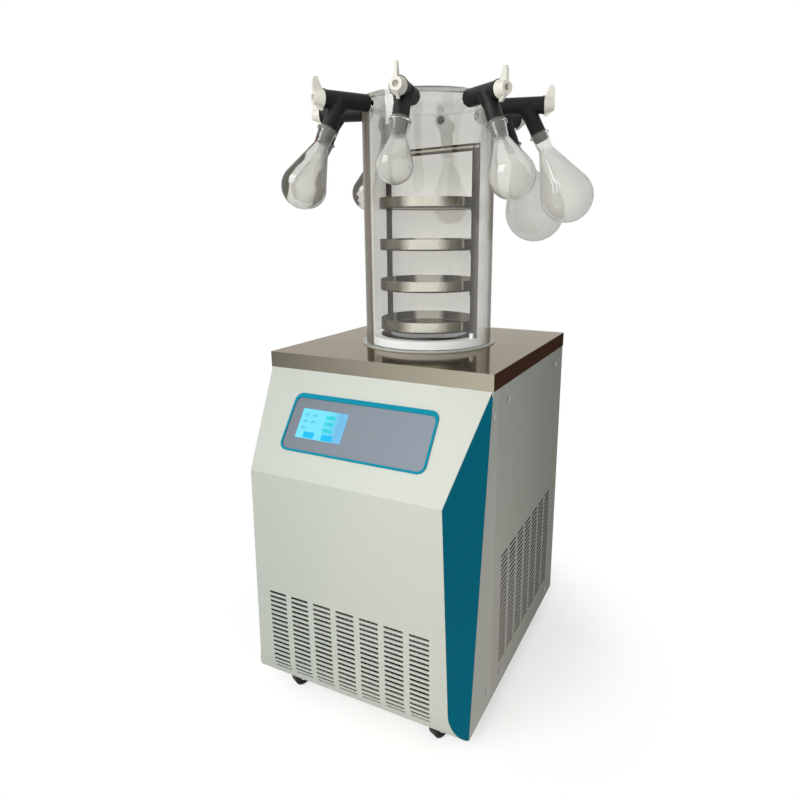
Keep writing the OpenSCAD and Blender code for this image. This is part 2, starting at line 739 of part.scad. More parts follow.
module compressor_mounts() {
    color(black_rubber) stand() comp_feet() {
        translate([0, 0, pan_z]) cylinder(r = 11, h = comp_z - pan_z);
        translate([0, 0, comp_z]) cylinder(r = 6, h = 3);
        translate([0, 0, comp_z + 3]) cylinder(r = 9, h = 3);
    }
}

// Finned condenser behind the front slots, with end plates
cond_y = -44;
module condenser() {
    fins = 34;
    plate = 1.5;
    pitch = (cond_w - plate) / fins;
    color(zinc) stand() translate([-cond_w / 2, cond_y, pan_z]) difference() {
        linear_extrude(cond_h) {
            for (i = [0:fins]) translate([i * pitch, 0]) square([i % fins == 0 ? plate : 0.8, cond_d]);
            for (y = [cond_d * 0.3, cond_d * 0.7]) translate([0, y - 1]) square([cond_w, 2]);
        }
    }
}

fan_y = cond_y + cond_d;               // rear face of the condenser
fan_z = pan_z + cond_h / 2;
fan_hub_r = 28;
fan_shaft_r = 4;
shroud_t = 1.5;
shroud_l = 30;                         // length of the ring around the blades
ring_r = fan_d / 2 + 4;
motor_y = fan_y + shroud_l + 8;
motor_l = 48;
module fan_axis(y) { translate([0, y, fan_z]) rotate([-90, 0, 0]) children(); }
// Shroud with its ring, its three arms and the motor
module fan_shroud() {
    color([0.20, 0.21, 0.22]) stand() {
        difference() {
            union() {
                box([-cond_w / 2, fan_y, pan_z], [cond_w / 2, fan_y + shroud_t, pan_z + cond_h]);
                fan_axis(fan_y) cylinder(r = ring_r + shroud_t, h = shroud_l);
            }
            fan_axis(fan_y - 1) cylinder(r = ring_r, h = shroud_l + 2);
        }
        fan_axis(motor_y) cylinder(r = 34, h = motor_l);
        fan_axis(fan_y + 6) cylinder(r = fan_shaft_r, h = motor_y - fan_y);
        for (a = [90, 210, 330]) fan_axis(fan_y + shroud_l) rotate([0, 0, a]) {
            translate([20, -6, 0]) cube([ring_r + shroud_t - 20, 12, 3]);
            translate([20, -6, 0]) cube([12, 12, motor_y - fan_y - shroud_l + 2]);
        }
    }
}
module fan_rotor() {
    hub_l = 18;
    color([0.55, 0.57, 0.58]) stand() fan_axis(fan_y + 7) difference() {
        union() {
            cylinder(r = fan_hub_r, h = hub_l);
            intersection() {
                for (i = [0:fan_blades - 1]) rotate([0, 0, 360 / fan_blades * i])
                    translate([fan_hub_r - 4, 0, hub_l / 2]) rotate([28, 0, 0])
                    translate([0, -26, -1]) cube([fan_d / 2 - fan_hub_r + 4, 52, 2]);
                tube(fan_d / 2, fan_hub_r - 6, hub_l + 2);
            }
        }
        translate([0, 0, -1]) cylinder(r = fan_shaft_r + run_gap, h = hub_l + 2);
    }
}

// Discharge and suction lines, the hot one to the condenser and the cold one from the trap
module refrigerant_lines() {
    side_x = -cond_w / 2 - 16;
    coil_x = coil_r + coil_d / 2 + bond_gap;
    stub_x = chamber_x - stub_end - bond_gap;
    cond_mid = cond_y + cond_d / 2;
    liquid_z = pan_z + 60;             // height of the line that leaves the condenser
    color(copper) stand() {
        pipe([[stub_x, chamber_y, comp_stub_z[0]], [side_x, chamber_y, comp_stub_z[0]],
            [side_x, cond_mid, comp_stub_z[0]], [-cond_w / 2 - bond_gap, cond_mid, comp_stub_z[0]]], line_r);
        pipe([[stub_x, chamber_y, comp_stub_z[1]], [side_x, chamber_y, comp_stub_z[1]],
            [side_x, chamber_y, coil_top], [chamber_x - coil_x, chamber_y, coil_top]], line_r);
        pipe([[cond_w / 2 + bond_gap, cond_mid, liquid_z], [-side_x, cond_mid, liquid_z],
            [-side_x, chamber_y, liquid_z], [-side_x, chamber_y, coil_low],
            [chamber_x + coil_x, chamber_y, coil_low]], line_r);
    }
}

// ---- Services on the rear ----
inlet_at = caster_h + inlet_z;
switch_at = inlet_at + switch_gap;
switch_w = 32;
switch_h = 26;

// Flanged vacuum port from the cold trap through the rear panel
module vacuum_port() {
    flange_l = 3;
    end = cab_d - chamber_y + vac_reach;
    color(steel) stand() trap_axis() translate([0, 0, vac_z]) difference() {
        rotate([-90, 0, 0]) {
            cylinder(r = vac_r, h = end);
            translate([0, 0, end - flange_l]) cylinder(r = vac_flange / 2, h = flange_l);
            translate([0, 0, end - flange_l - 4]) cylinder(r1 = vac_r, r2 = vac_flange / 2, h = 4);
            translate([0, 0, cab_d - chamber_y]) cylinder(r = vac_r + 6, h = 2);
        }
        rotate([-90, 0, 0]) cylinder(r = vac_id / 2, h = end + 1);
        translate([0, 0, -vac_r - 1]) cylinder(r = trap_r + trap_t + seam, h = 2 * vac_r + 2);
    }
}

lever_y = cab_d + 18;
lever_z = drain_at + 16;
module drain_valve() {
    color([0.75, 0.62, 0.35]) stand() difference() {
        union() {
            pipe([[chamber_x, chamber_y, trap_foot - bond_gap], [chamber_x, chamber_y, drain_bend_z],
                [drain_x, chamber_y, drain_bend_z], [drain_x, rear_y - 40, drain_bend_z],
                [drain_x, rear_y - 40, drain_at], [drain_x, cab_d + 8, drain_at]], drain_r);
            translate([drain_x, cab_d, drain_at]) rotate([-90, 0, 0]) cylinder(r = 12, h = 34);
            translate([drain_x, cab_d + 34, drain_at]) rotate([-90, 0, 0]) cylinder(r = 6, h = 20);
            translate([drain_x, lever_y, drain_at]) cylinder(r = 7, h = lever_z - drain_at);
            translate([drain_x, lever_y, lever_z]) cylinder(r = 3, h = 6);
        }
        translate([drain_x, cab_d + 30, drain_at]) rotate([-90, 0, 0]) cylinder(r = 4, h = 30);
    }
}
module drain_lever() {
    color([0.75, 0.12, 0.10]) stand() translate([drain_x, lever_y, lever_z + seam]) difference() {
        union() {
            cylinder(r = 7, h = 4);
            translate([0, -5, 0]) cube([lever_l - 5, 10, 4]);
            translate([lever_l - 5, 0, 0]) cylinder(r = 5, h = 4);
        }
        translate([0, 0, -1]) cylinder(r = 3 + run_gap, h = 6);
    }
}

module power_inlet() {
    well = [inlet_w - 24, inlet_h - 14];
    well_d = 15;
    color(black_rubber) stand() translate([inlet_x, cab_d, inlet_at]) rotate([-90, 0, 0]) {
        difference() {
            union() {
                rounded_plate(inlet_w, inlet_h, 4, 2.5);
                translate([-(inlet_w - 8) / 2, -(inlet_h - 6) / 2, -22]) cube([inlet_w - 8, inlet_h - 6, 23]);
            }
            translate([-well.x / 2, -well.y / 2, 2.5 - well_d]) cube([well.x, well.y, well_d + 1]);
        }
        for (x = [-7, 0, 7]) translate([x - 1, -2 + (x == 0 ? 2 : -1), 2 - well_d]) cube([2, 4, well_d - 6]);
    }
}

// Rocker switch: a housing with two cheeks, and the rocker on its pin
rocker_w = switch_w - 12;
rocker_r = 11;
rocker_sink = 3;                       // pivot behind the rear panel
rocker_tilt = 10;                      // lean to either side, off at rest
module power_switch() {
    color(black_rubber) stand() translate([inlet_x, cab_d, switch_at]) rotate([-90, 0, 0]) difference() {
        union() {
            rounded_plate(switch_w, switch_h, 3, 2.5);
            translate([-(switch_w - 4) / 2, -(switch_h - 4) / 2, -18]) cube([switch_w - 4, switch_h - 4, 19]);
        }
        translate([-rocker_w / 2 - seam, -rocker_r + 0.5, -15])
            cube([rocker_w + 2 * seam, 2 * rocker_r - 1, 20]);
        translate([-rocker_w / 2 - 3, 0, -rocker_sink]) rotate([0, 90, 0])
            cylinder(r = 1.5 + run_gap, h = rocker_w + 6);
    }
}
module power_rocker() {
    color([0.62, 0.10, 0.09]) stand() translate([inlet_x, cab_d - rocker_sink, switch_at])
        rotate([rocker_tilt, 0, 0]) rotate([0, 90, 0]) {
        difference() {
            intersection() {
                translate([0, 0, -rocker_w / 2]) cylinder(r = rocker_r - 1, h = rocker_w);
                translate([-rocker_r, -5, -rocker_w / 2]) cube([2 * rocker_r, rocker_r + 4, rocker_w]);
            }
            translate([0, rocker_r + 20, -rocker_w]) cylinder(r = 24, h = 2 * rocker_w);
        }
        translate([0, 0, -rocker_w / 2 - 2.5]) cylinder(r = 1.5, h = rocker_w + 5);
    }
}

// ---- Chamber ----
module base_seal() {
    color([0.60, 0.64, 0.59]) stand() at_chamber() tube(seal_od / 2, collar_od / 2 + 1.5, seal_t);
}
module trap_collar() {
    lug_r = rack_out + 0.4;
    color([0.93, 0.94, 0.95]) stand() at_chamber() {
        difference() {
            union() {
                cylinder(r = collar_od / 2, h = collar_t);
                translate([0, 0, -spigot_h]) cylinder(r = trap_r - seam, h = spigot_h + 1);
            }
            translate([0, 0, -spigot_h - 1]) cylinder(r = collar_id / 2, h = spigot_h + collar_t + 2);
        }
        // Lugs that hold the rack's two feet from turning
        for (side = [-1, 1], y = [-1, 1]) rotate([0, 0, rack_turn])
            translate([side * (rack_in + channel_w / 2), y * (channel_d / 2 + 0.4 + lug_t / 2), collar_t])
            translate([-3, -lug_t / 2, -0.5]) cube([6, lug_t, lug_h + 0.5]);
    }
}
module chamber_cylinder() {
    color(clear) stand() difference() {
        at_chamber() difference() {
            translate([0, 0, seal_t]) tube(tube_od / 2, tube_in, chamber_h - seal_t);
            translate([0, 0, lid_z]) cylinder(r = rim_r, h = lid_t + 1);
        }
        for (i = [0:ports - 1]) at_port(i) translate([tube_in - 5, 0, 0])
            rotate([0, 90, 0]) cylinder(r = stub_r + bond_gap, h = tube_wall + 10);
    }
}
module chamber_lid() {
    color(clear) stand() at_chamber() translate([0, 0, lid_z]) cylinder(r = rim_r - bond_gap, h = lid_t);
}
module port_stubs() {
    color(clear) stand() for (i = [0:ports - 1]) at_port(i) translate([tube_in, 0, 0])
        rotate([0, 90, 0]) tube(stub_r, bore_r, tube_wall + stub_l);
}

// ---- Rack and trays ----
module channel(l) {
    // Flat side at the back, flanges towards -Y
    translate([0, channel_d / 2 - rack_t, 0]) cube([channel_w, rack_t, l]);
    for (x = [0, channel_w - rack_t]) translate([x, -channel_d / 2, 0]) cube([rack_t, channel_d, l]);
}
module sample_rack() {
    color(steel) stand() at_chamber() rotate([0, 0, rack_turn]) {
        for (side = [-1, 1]) mirrored(side) translate([rack_in, 0, rack_z]) channel(rack_h - rack_z);
        difference() {
            translate([-rack_out, -channel_d / 2, rack_h - channel_w])
                cube([2 * rack_out, channel_d, channel_w]);
            translate([-rack_out - 1, -channel_d, rack_h - channel_w + rack_t])
                cube([2 * rack_out + 2, 1.5 * channel_d - rack_t, channel_w - 2 * rack_t]);
        }
    }
}
// Ring with an arm to each upright
module rack_ring(width) {
    tube(tray_d / 2, tray_d / 2 - width, rack_t);
    for (side = [-1, 1]) mirrored(side) translate([rack_in - arm_l, -channel_d / 2, 0])
        cube([arm_l, channel_d, rack_t]);
}
module rack_shelves() {
    color(steel) stand() at_chamber() rotate([0, 0, rack_turn])
        for (k = [0:tray_count - 1]) translate([0, 0, tray_z1 + k * tray_pitch - rack_t]) {
            rack_ring(shelf_w);
            for (side = [-1, 1]) mirrored(side) translate([rack_in - rack_t, -channel_d / 2, -shelf_tab])
                cube([rack_t, channel_d, shelf_tab + rack_t]);
        }
}
module rack_foot() {
    color(steel) stand() at_chamber() rotate([0, 0, rack_turn]) translate([0, 0, rack_z])
        rack_ring(foot_ring_w);
}
module tray(k) {
    edge_r = 3;
    r = tray_d / 2;
    color(steel) stand() at_chamber() translate([0, 0, tray_z1 + (k - 1) * tray_pitch])
        rotate_extrude($fn = 96) difference() {
            union() {
                square([r - edge_r, tray_h]);
                translate([0, edge_r]) square([r, tray_h - edge_r]);
                translate([r - edge_r, edge_r]) circle(edge_r);
            }
            translate([-1, tray_t]) square([r - edge_r + 1, tray_h]);
            translate([-1, edge_r]) square([r - tray_t + 1, tray_h]);
            translate([r - edge_r, edge_r]) circle(edge_r - tray_t);
        }
}

// ---- Valves ----
module valve_body() {
    difference() {
        union() {
            translate([valve_x, 0, 0]) rotate([0, 90, 0]) {
                cylinder(r1 = valve_od / 2 - 5, r2 = valve_od / 2 - 1.5, h = 2);
                translate([0, 0, 2]) cylinder(r1 = valve_od / 2 - 1.5, r2 = valve_od / 2, h = 3.5);
                translate([0, 0, 5.5]) cylinder(r = valve_od / 2, h = valve_l - 5.5);
            }
            translate([valve_end - 3, 0, 0]) rotate([0, 90, 0]) cylinder(r = valve_od / 2 + 1.2, h = 3);
            // Branch, with a fillet around its root
            translate([branch_x, 0, 0]) rotate([0, 90 + branch_a, 0]) {
                cylinder(r = branch_od / 2, h = branch_l);
                cylinder(r1 = valve_od / 2 + 4, r2 = branch_od / 2, h = valve_od / 2 + 10);
            }
        }
        translate([valve_x - 1, 0, 0]) rotate([0, 90, 0]) cylinder(r = stub_r + bond_gap, h = stub_l + 2);
        translate([valve_x, 0, 0]) rotate([0, 90, 0]) cylinder(r = bore_r, h = valve_l);
        translate([valve_end - stem_l - 1, 0, 0]) rotate([0, 90, 0])
            cylinder(r = stem_r + run_gap, h = stem_l + 5);
        translate([branch_x, 0, 0]) rotate([0, 90 + branch_a, 0]) {
            cylinder(r = bore_r, h = branch_l + 1);
            translate([0, 0, branch_l - socket_l]) cylinder(r = spigot_r + bond_gap, h = socket_l + 1);
        }
    }
}
module valve_bodies() {
    color(black_rubber) stand() for (i = [0:ports - 1]) at_port(i) valve_body();
}
// Knob with a wing over the axis, a rib under it and a stem in the valve body
module valve_knob(i) {
    color(ivory) stand() at_port(i - 1) difference() {
        union() {
            translate([knob_x, 0, 0]) rotate([0, 90, 0])
                cylinder(r1 = knob_d / 2, r2 = knob_face_d / 2, h = knob_l);
            translate([knob_x - stem_l, 0, 0]) rotate([0, 90, 0]) cylinder(r = stem_r, h = stem_l + 1);
            translate([0, wing_t / 2, 0]) rotate([90, 0, 0]) linear_extrude(wing_t) polygon([
                [knob_end, knob_face_d / 2 - 4], [knob_end, wing_h - 7], [knob_end - 3, wing_h - 1],
                [knob_end - 6, wing_h], [knob_end - 9, wing_h], [knob_x + 1, knob_d / 2 + 1],
                [knob_x + 1, 5]]);
            translate([0, wing_t / 2, 0]) rotate([90, 0, 0]) linear_extrude(wing_t) polygon([
                [knob_x, -5], [knob_x, -knob_d / 2 - 4], [knob_x + 3, -knob_d / 2 - 5],
                [knob_end, -knob_face_d / 2 + 1], [knob_end, -knob_face_d / 2 + 4]]);
        }
        translate([knob_end - 11, 0, 0]) rotate([0, 90, 0]) cylinder(r = knob_face_d / 4 + 0.5, h = 12);
    }
}

// ---- Flasks ----

// Rubber cone: a spigot in the branch, a flange, and the cone that seals a flask's neck
module rubber_cone(i) {
    l = flask_d[i] < flask_l ? cone_l : short_cone_l;
    top_r = neck_d / 2 - glass_t - bond_gap;
    difference() {
        union() {
            translate([0, 0, cone_s - socket_l]) cylinder(r = spigot_r, h = socket_l);
            translate([0, 0, cone_s]) cylinder(r = branch_od / 2 + 1, h = flange_t);
            translate([0, 0, cone_s + flange_t]) cylinder(r = top_r, h = seam);
            translate([0, 0, neck_top]) cylinder(r1 = top_r, r2 = top_r - neck_taper * l, h = l);
        }
        translate([0, 0, cone_s - socket_l - 1]) cylinder(r = bore_r - 1, h = socket_l + l + 10);
    }
}
module flask_adapters() {
    color(grey_rubber) stand() for (i = [0:ports - 1]) at_branch(i) rubber_cone(i);
}

// Outline of a pear-shaped flask, or of its hollow: a tapered neck, then a cone that
// meets the bulb on a tangent
module flask_outline(bulb, r_bulb, inset) {
    r_foot = neck_foot_d / 2 - inset;
    r_top = r_foot + neck_taper * (neck_l + inset);
    gap = norm([r_foot, neck_end - bulb]);
    meet = atan2(neck_end - bulb, r_foot) + acos(r_bulb / gap);
    translate([0, bulb]) circle(r_bulb);
    polygon([[0, neck_top - inset], [r_top, neck_top - inset], [r_foot, neck_end],
        [r_bulb * cos(meet), bulb + r_bulb * sin(meet)], [0, bulb]]);
}
module flask(i) {
    r = flask_d[i] / 2;
    bead = (lip_d - neck_d) / 2;
    rotate_extrude() intersection() {
        difference() {
            union() {
                flask_outline(bulb_s(i), r, 0);
                translate([neck_d / 2, neck_top + bead]) circle(bead);
            }
            flask_outline(bulb_s(i), r - glass_t, glass_t);
        }
        translate([0, neck_top]) square([r + 1, bulb_s(i) + r - neck_top + 1]);
    }
}
module flasks() {
    color(clear) stand() for (i = [0:ports - 1]) at_branch(i) flask(i);
}

// ---- Casters ----
caster_at = [[-caster_x, caster_front], [caster_x, caster_front], [-caster_x, cab_d - caster_rear],
    [caster_x, cab_d - caster_rear]];
plate_t = 2.5;
boss_h = 3.5;
kingpin_r = 4;
fork_top = caster_h - plate_t - boss_h - seam;
axle_z = wheel_d / 2;
fork_gap = wheel_w / 2 + 0.8;
fork_t = 2;
axle_r = 3;
module at_caster(i) { translate([caster_at[i].x, caster_at[i].y, 0]) children(); }
// Child's +X runs from the kingpin towards the wheel
module at_fork(i) { at_caster(i) rotate([0, 0, caster_turn]) children(); }
module caster_plates() {
    color(zinc) stand() for (i = [0:3]) at_caster(i) {
        translate([-24, -24, caster_h - plate_t]) cube([48, 48, plate_t]);
        translate([0, 0, caster_h - plate_t - boss_h]) cylinder(r = 15, h = boss_h);
        translate([0, 0, fork_top - fork_t - 2.4]) cylinder(r = kingpin_r, h = caster_h - fork_top);
        translate([0, 0, fork_top - fork_t - 2.4]) cylinder(r = 6, h = 2.1);
    }
}
module caster_fork(i) {
    color(zinc) stand() at_fork(i - 1) {
        difference() {
            union() {
                translate([0, 0, fork_top - fork_t]) cylinder(r = 16, h = fork_t);
                for (side = [-1, 1]) mirror([0, side < 0 ? 1 : 0, 0])
                    translate([0, fork_gap + fork_t, 0]) rotate([90, 0, 0]) linear_extrude(fork_t) hull() {
                        translate([caster_trail, axle_z]) circle(7);
                        translate([-11, fork_top - 5]) square([22, 5]);
                    }
            }
            translate([0, 0, fork_top - 10]) cylinder(r = kingpin_r + run_gap, h = 20);
        }
        translate([caster_trail, fork_gap + fork_t + 1.5, axle_z]) rotate([90, 0, 0])
            cylinder(r = axle_r, h = 2 * (fork_gap + fork_t + 1.5));
    }
}
module caster_wheel(i) {
    color([0.25, 0.25, 0.26]) stand() at_fork(i - 1) translate([caster_trail, wheel_w / 2, axle_z])
        rotate([90, 0, 0]) difference() {
            tube(axle_z, axle_r + run_gap, wheel_w);
            for (z = [-1, wheel_w - 2]) translate([0, 0, z]) tube(axle_z - 5, axle_r + 4, 3);
        }
}

base_pan();
front_panel();
front_cheeks();
corner_strips();
side_panel(-1);  // side_panel_left
side_panel(1);  // side_panel_right
rear_panel();
worktop();
control_bezel();
control_overlay();
touch_screen();
control_box();
panel_screws();
cold_trap();
evaporator_coil();
trap_insulation();
compressor();
compressor_mounts();
condenser();
fan_shroud();
fan_rotor();
refrigerant_lines();
vacuum_port();
drain_valve();
drain_lever();
power_inlet();
power_switch();
power_rocker();
base_seal();
trap_collar();
chamber_cylinder();
chamber_lid();
port_stubs();
sample_rack();
rack_shelves();
rack_foot();
tray(1);  // tray_1
tray(2);  // tray_2
tray(3);  // tray_3
tray(4);  // tray_4
valve_bodies();
for (i = [1:8]) valve_knob(i);
flask_adapters();
flasks();
caster_plates();
for (i = [1:4]) caster_fork(i);
for (i = [1:4]) caster_wheel(i);
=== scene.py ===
"""Freeze dryer: the looks of a floor-standing cabinet with a clear chamber, a tray rack
and eight flask valves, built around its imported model."""

import math

import bpy
from mathutils import Matrix, Vector


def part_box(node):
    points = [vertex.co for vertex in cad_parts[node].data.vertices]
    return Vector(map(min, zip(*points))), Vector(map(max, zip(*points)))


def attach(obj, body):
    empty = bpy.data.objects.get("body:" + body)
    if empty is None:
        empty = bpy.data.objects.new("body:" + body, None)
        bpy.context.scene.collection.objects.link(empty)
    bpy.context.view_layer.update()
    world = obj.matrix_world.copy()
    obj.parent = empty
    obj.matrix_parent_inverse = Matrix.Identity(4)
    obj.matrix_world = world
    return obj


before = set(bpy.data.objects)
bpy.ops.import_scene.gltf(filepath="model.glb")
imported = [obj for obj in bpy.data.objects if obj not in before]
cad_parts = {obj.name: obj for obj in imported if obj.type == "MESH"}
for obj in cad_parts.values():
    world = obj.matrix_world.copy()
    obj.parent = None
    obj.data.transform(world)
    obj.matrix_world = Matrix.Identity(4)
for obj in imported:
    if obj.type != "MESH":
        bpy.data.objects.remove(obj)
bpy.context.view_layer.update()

# ---- Camera ----
# It stands to the right of the cabinet's front and a little above the worktop,
# and looks down on it.
CAMERA_RIGHT = 0.5624
CAMERA_AHEAD = 0.9379
CAMERA_ABOVE = 0.2342
CAMERA_TURN = 26.28      # degrees to the left of straight ahead
CAMERA_DIP = 13.70       # degrees below the level
CAMERA_ROLL = -0.133
top_low, top_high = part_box("worktop")
lens = bpy.data.cameras.new("camera")
lens.lens = 27.9
lens.sensor_width = 36
lens.shift_x = -0.0279
lens.shift_y = -0.0265
camera = bpy.data.objects.new("camera", lens)
camera.matrix_world = (
    Matrix.Translation((
        (top_low.x + top_high.x) / 2 + CAMERA_RIGHT,
        top_low.y - CAMERA_AHEAD,
        top_high.z + CAMERA_ABOVE,
    ))
    @ Matrix.Rotation(math.radians(CAMERA_TURN), 4, "Z")
    @ Matrix.Rotation(math.radians(90 - CAMERA_DIP), 4, "X")
    @ Matrix.Rotation(math.radians(CAMERA_ROLL), 4, "Z")
)
bpy.context.collection.objects.link(camera)
bpy.context.scene.camera = camera


# ---- Studio ----
# A white floor that runs into a white backdrop, a soft overcast light from all round,
# and two large lamps ahead of the cabinet.
class Wire:
    """An output in a shader tree. Sums on it add Math nodes, and node() adds any other."""

    def __init__(self, tree, socket=None):
        self.tree = tree
        self.socket = socket

    def node(self, kind, settings=None, sockets=None, out=0):
        made = self.tree.nodes.new("ShaderNode" + kind)
        for name, value in (settings or {}).items():
            if name == "stops":
                ramp = made.color_ramp.elements
                while len(ramp) < len(value):
                    ramp.new(0.5)
                for stop, (place, colour) in zip(ramp, value):
                    stop.position = place
                    stop.color = (*colour, 1)
            else:
                setattr(made, name, value)
        for name, value in (sockets or {}).items():
            fill(self.tree, made.inputs[name], value)
        return Wire(self.tree, made.outputs[out])

    def maths(self, operation, *values):
        return self.node("Math", {"operation": operation}, dict(enumerate(values)))

    def __add__(self, other):
        return self.maths("ADD", self, other)

    def __sub__(self, other):
        return self.maths("SUBTRACT", self, other)

    def __rsub__(self, other):
        return self.maths("SUBTRACT", other, self)

    def __mul__(self, other):
        return self.maths("MULTIPLY", self, other)

    def __truediv__(self, other):
        return self.maths("DIVIDE", self, other)

    def __pow__(self, other):
        return self.maths("POWER", self, other)

    def __gt__(self, other):
        return self.maths("GREATER_THAN", self, other)

    def __lt__(self, other):
        return self.maths("LESS_THAN", self, other)

    def __abs__(self):
        return self.maths("ABSOLUTE", self)

    __radd__ = __add__
    __rmul__ = __mul__


def fill(tree, socket, value):
    """Links a wire to a socket, or sets a number, a colour or a vector on it."""
    if isinstance(value, Wire):
        tree.links.new(value.socket, socket)
    elif socket.type == "RGBA":
        socket.default_value = (*value, 1)
    else:
        socket.default_value = value


def blend(share, first, second):
    """A colour between two others."""
    return share.node("Mix", {"data_type": "RGBA"}, {0: share, 6: first, 7: second}, out=2)


def smooth(value, low, high):
    """0 below low, 1 above high, and a soft rise between."""
    return value.node(
        "MapRange", {"interpolation_type": "SMOOTHSTEP"}, {0: value, 1: low, 2: high, 3: 0, 4: 1}
    )


def either(first, second):
    """The larger of two wires, or of a number and a wire."""
    return (first if isinstance(first, Wire) else second).maths("MAXIMUM", first, second)


RAY_KINDS = ("camera", "shadow", "diffuse", "glossy", "", "", "transmission")


def path(wire, kind):
    """1 where the ray in hand is of this kind."""
    return wire.node("LightPath", out=RAY_KINDS.index(kind))


def place_in(wire):
    """The place on the object, in metres."""
    return wire.node("TexCoord", out=3)


def tree_of(owner):
    """The empty shader tree of a material or a world, with its output."""
    owner.use_nodes = True
    owner.node_tree.nodes.clear()
    return Wire(owner.node_tree)


def show(wire, kind, surface):
    """Makes this shader the surface of its tree."""
    output = wire.tree.nodes.new("ShaderNodeOutput" + kind)
    wire.tree.links.new(surface.socket, output.inputs["Surface"])


SKY_LEVEL = 0.40
FLOOR_HALF = 6.0
SHADOW_REACH = 0.30      # the floor fades from shaded to plain white between these
FLOOR_CLEAR = 0.56       # two distances from the cabinet's middle

world = bpy.data.worlds.new("studio")
bpy.context.scene.world = world
sky = tree_of(world)
seen = either(either(path(sky, "camera"), path(sky, "glossy")), path(sky, "transmission"))
soft_light = sky.node("Background", None, {"Color": (1.0, 0.99, 0.97), "Strength": SKY_LEVEL})
backdrop = sky.node("Background", None, {"Color": (1, 1, 1), "Strength": 1.0})
show(sky, "World", sky.node("MixShader", None, {0: seen, 1: soft_light, 2: backdrop}))

floor_mesh = bpy.data.meshes.new("floor")
floor_mesh.from_pydata(
    [(x * FLOOR_HALF, y * FLOOR_HALF, 0) for x, y in ((-1, -1), (1, -1), (1, 1), (-1, 1))],
    [], [(0, 1, 2, 3)],
)
floor = bpy.data.objects.new("floor", floor_mesh)
bpy.context.collection.objects.link(floor)
paper = bpy.data.materials.new("white_paper")
floor_mesh.materials.append(paper)
sheet = tree_of(paper)
from_middle = sheet.node("VectorMath", {"operation": "LENGTH"}, {0: place_in(sheet)}, out=1)
seen = either(either(path(sheet, "camera"), path(sheet, "glossy")), path(sheet, "transmission"))
lit = sheet.node("BsdfDiffuse", None, {"Color": (0.80, 0.80, 0.79)})
lifted = sheet.node("AddShader", None, {
    0: lit,
    1: sheet.node("Emission", None, {"Color": (1, 1, 1), "Strength": 0.50}),
})
white = sheet.node("Emission", None, {"Color": (1, 1, 1), "Strength": 1.0})
far_white = sheet.node("MixShader", None, {
    0: smooth(from_middle, SHADOW_REACH, FLOOR_CLEAR), 1: lifted, 2: white})
show(sheet, "Material", sheet.node("MixShader", None, {0: seen, 1: lit, 2: far_white}))


def lamp(name, place, target, size, power, glossy=False):
    """A lamp that faces the target. It lights the object, or else only shows in its gloss."""
    data = bpy.data.lights.new(name, "AREA")
    data.shape = "RECTANGLE"
    data.size, data.size_y = size
    data.energy = power
    made = bpy.data.objects.new(name, data)
    aim = Vector(target) - Vector(place)
    made.matrix_world = Matrix.Translation(place) @ aim.to_track_quat("-Z", "Y").to_matrix().to_4x4()
    made.visible_diffuse = not glossy
    made.visible_glossy = glossy
    made.visible_transmission = False
    bpy.context.collection.objects.link(made)


lamp("key_lamp", (-0.9, -2.7, 1.7), (0, 0, 0.6), (1.8, 1.5), 33)
lamp("near_lamp", (0.32, -1.7, 1.5), (0.1, 0, 0.6), (0.5, 0.8), 8)

# Two window panes side by side, seen only in the gloss of the glass and the plastics
lamp("window_left", (-1.20, -1.35, 1.90), (0, 0, 0.9), (0.60, 1.1), 15, glossy=True)
lamp("window_right", (-0.70, -1.65, 1.95), (0, 0, 0.9), (0.50, 1.1), 13, glossy=True)
bpy.context.scene.view_settings.view_transform = "Standard"


# ---- Painted sheet metal ----
# The front panel, the side and rear panels, the corner strips and the base pan are
# folded steel sheet with an even coat of baked powder paint, which dries with a
# fine orange-peel skin.
def finish(name, **constants):
    """A material with one plain shader, and the constants of that shader's sockets."""
    material = bpy.data.materials.new(name)
    wire = tree_of(material)
    shader = wire.node("BsdfPrincipled", None, {
        socket.replace("_", " ").title().replace("Ior", "IOR"): value
        for socket, value in constants.items()
    })
    show(wire, "Material", shader)
    return material, shader


def vary(shader, **sockets):
    """Feeds wires to the sockets of a finish's shader."""
    for name, wire in sockets.items():
        fill(shader.tree, shader.socket.node.inputs[name.replace("_", " ").title()], wire)


X, Y, Z = range(3)


def separate(vector, axis):
    """One coordinate of a vector."""
    return vector.node("SeparateXYZ", None, {0: vector}, out=axis)


def stretched(wire, x, y, z):
    """The place, with each direction scaled."""
    return wire.node("VectorMath", {"operation": "MULTIPLY"}, {0: place_in(wire), 1: (x, y, z)})


def grain(wire, scale, detail=2.0, where=None):
    """Even noise, around 0.5."""
    return wire.node("TexNoise", None, {
        "Vector": where or place_in(wire), "Scale": scale, "Detail": detail,
    })


def relief(height, depth, strength=1.0):
    """A normal from a height that varies by this depth in metres."""
    return height.node("Bump", None, {"Strength": strength, "Distance": depth, "Height": height})


def wear(nodes, material):
    """Gives CAD nodes this finish."""
    for name in nodes:
        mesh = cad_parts[name].data
        mesh.materials.clear()
        mesh.materials.append(material)


def powder_coat(name, colour, shade, low, far, axis, start, end):
    """Baked powder paint, slightly darker where the coat is thin. It shades into low towards the floor, and
    into a second colour between two places along an axis of the object: both are painted light and shade,
    not the paint's own colour."""
    material, shader = finish(name, specular_ior_level=0.3)
    height = separate(place_in(shader), Z)
    along = (separate(place_in(shader), axis) - start) / (end - start)
    paint = blend(smooth(grain(shader, 3.0), 0.35, 0.65), colour, shade)
    paint = blend(0.6 * smooth(height, 0.65, 0.25), paint, low)
    vary(shader, base_color=blend(smooth(along, 0, 1), paint, far),
         roughness=0.40 + 0.10 * grain(shader, 40.0),
         normal=relief(grain(shader, 900.0), 0.00004, 0.35))
    return material


